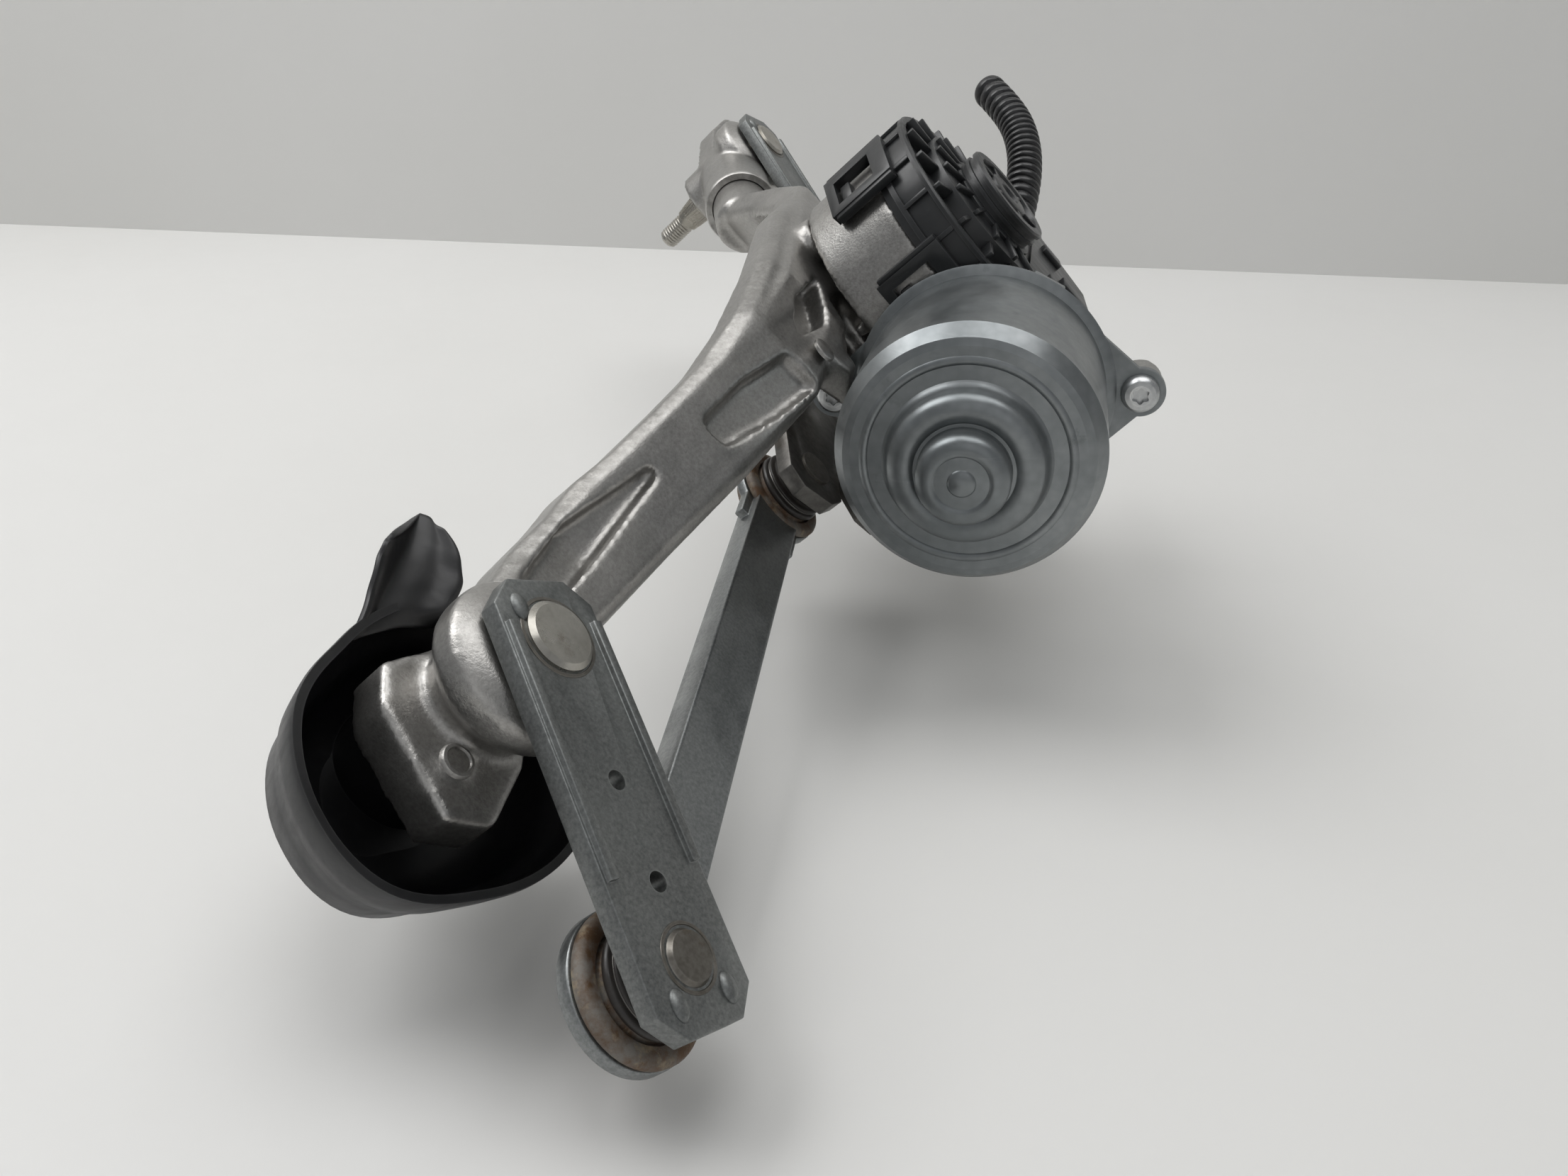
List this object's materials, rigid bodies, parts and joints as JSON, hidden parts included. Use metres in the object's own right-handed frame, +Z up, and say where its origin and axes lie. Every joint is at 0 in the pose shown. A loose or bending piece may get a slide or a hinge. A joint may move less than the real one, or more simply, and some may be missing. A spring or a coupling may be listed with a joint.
{
  "type": "windshield wiper assembly",
  "caption": "Two-spindle wiper linkage: cast frame, geared motor with crank, ball-jointed links and levers that swing the wiper spindles.",
  "frame": {"origin": "middle of the near spindle's threaded end, on its axis", "axes": "+Y along the frame from the near spindle towards the far one, +Z up from the bench it lies on"},
  "size_m": [0.1833, 0.438, 0.1423],
  "materials": {
    "cast_alloy": "as cast, shot blasted",
    "galvanised_steel": "zinc plated",
    "bright_steel": "machined",
    "bush_bronze": "sintered",
    "black_plastic": "satin moulded",
    "black_rubber": "moulded, dusty",
    "cream_plastic": "aged natural moulding",
    "magnet_ferrite": "sintered ferrite"
  },
  "bodies": {
    "frame": {"cast_bracket": "cast_alloy", "far_housing": "cast_alloy", "near_bush": "bush_bronze", "far_bush": "bush_bronze", "gear_case": "cast_alloy", "output_bush": "bush_bronze", "case_cover": "black_plastic", "cover_clips": "black_plastic", "motor_can": "galvanised_steel", "can_screws": "bright_steel", "armature": "bright_steel", "magnets": "magnet_ferrite", "mount_bolts": "bright_steel", "rain_cup": "black_rubber", "conduit": "black_plastic"},
    "near_arm": {"near_lever": "galvanised_steel", "near_spindle": "bright_steel", "near_ball_stud": "bright_steel", "near_clip": "bright_steel"},
    "far_arm": {"far_lever": "galvanised_steel", "far_spindle": "bright_steel", "far_ball_stud": "bright_steel", "far_clip": "bright_steel"},
    "near_rod": {"near_link": "galvanised_steel", "near_link_socket": "cream_plastic", "near_link_boot": "black_rubber", "near_crank_socket": "cream_plastic", "near_crank_boot": "black_rubber", "near_crank_ball": "bright_steel"},
    "far_rod": {"far_link": "galvanised_steel", "far_link_socket": "cream_plastic", "far_link_boot": "black_rubber", "far_crank_socket": "cream_plastic", "far_crank_boot": "black_rubber", "far_crank_ball": "bright_steel"},
    "crank": {"crank_plate": "galvanised_steel", "crank_rivets": "bright_steel", "crank_nut": "bright_steel", "output_shaft": "bright_steel", "worm_wheel": "cream_plastic"}
  },
  "joints": [
    {"name": "crank_turn", "type": "hinge", "parent": "frame", "child": "crank", "pos_m": [0.06358, 0.16962, 0.02942], "axis": [0.7314, -0.0878, 0.6763], "range_deg": [0, 120]},
    {"name": "near_arm_turn", "type": "hinge", "parent": "frame", "child": "near_arm", "pos_m": [0.03766, -0.00452, 0.03483], "axis": [0.7314, -0.0878, 0.6763], "range_deg": [-0.2, 82.2]},
    {"name": "far_arm_turn", "type": "hinge", "parent": "frame", "child": "far_arm", "pos_m": [0.03766, 0.32273, 0.07733], "axis": [0.7314, -0.0878, 0.6763], "range_deg": [-0.2, 79.01]},
    {"name": "near_rod_turn", "type": "hinge", "parent": "near_arm", "child": "near_rod", "pos_m": [0.0666, -0.0426, -0.0014], "axis": [0.7314, -0.0878, 0.6763], "range_deg": [-86.85, 0.2]},
    {"name": "far_rod_turn", "type": "hinge", "parent": "far_arm", "child": "far_rod", "pos_m": [0.07077, 0.29233, 0.03759], "axis": [0.7314, -0.0878, 0.6763], "range_deg": [-88.52, 0.2]}
  ],
  "couplings": [
    {"joint": "near_arm_turn", "follows": "crank_turn", "ratio": 0.68333},
    {"joint": "far_arm_turn", "follows": "crank_turn", "ratio": 0.65675},
    {"joint": "near_rod_turn", "follows": "crank_turn", "ratio": -0.72212},
    {"joint": "far_rod_turn", "follows": "crank_turn", "ratio": -0.73604}
  ]
}
